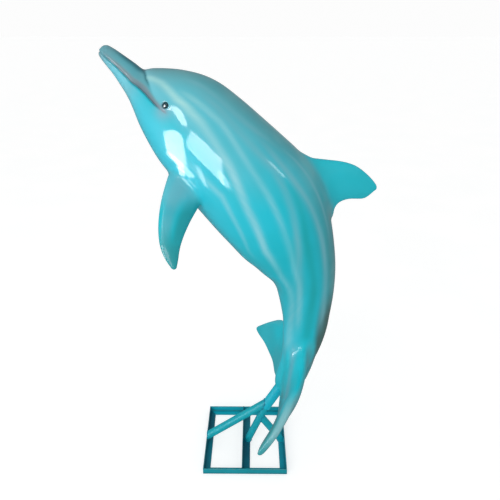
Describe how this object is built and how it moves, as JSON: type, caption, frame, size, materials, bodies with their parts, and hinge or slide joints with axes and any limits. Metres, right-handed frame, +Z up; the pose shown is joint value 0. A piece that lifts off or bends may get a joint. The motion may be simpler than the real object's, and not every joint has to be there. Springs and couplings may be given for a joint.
{
  "type": "fiberglass dolphin statue",
  "caption": "Gloss-painted fiberglass dolphin statue leaping upright, its tail held by a slanting post and struts on a square welded angle-iron floor frame.",
  "frame": {"origin": "on the floor, under the middle of the square base frame", "axes": "+Z up, -X towards the side that the dolphin's beak points to, -Y out of its left flank"},
  "size_m": [0.7677, 0.6446, 1.42],
  "materials": {
    "dolphin_paint": "glossy clear-coated paint, airbrushed turquoise with paler blue-grey streaks",
    "strut_paint": "satin turquoise paint",
    "frame_paint": "satin dark teal paint"
  },
  "bodies": {
    "root": {"dolphin": "dolphin_paint", "tail_post": "strut_paint", "support_rod_left": "strut_paint", "support_rod_middle": "strut_paint", "support_rod_right": "strut_paint", "base_angle_front": "frame_paint", "base_angle_rear": "frame_paint", "base_angle_left": "frame_paint", "base_angle_right": "frame_paint", "base_angle_middle": "frame_paint"}
  },
  "joints": []
}
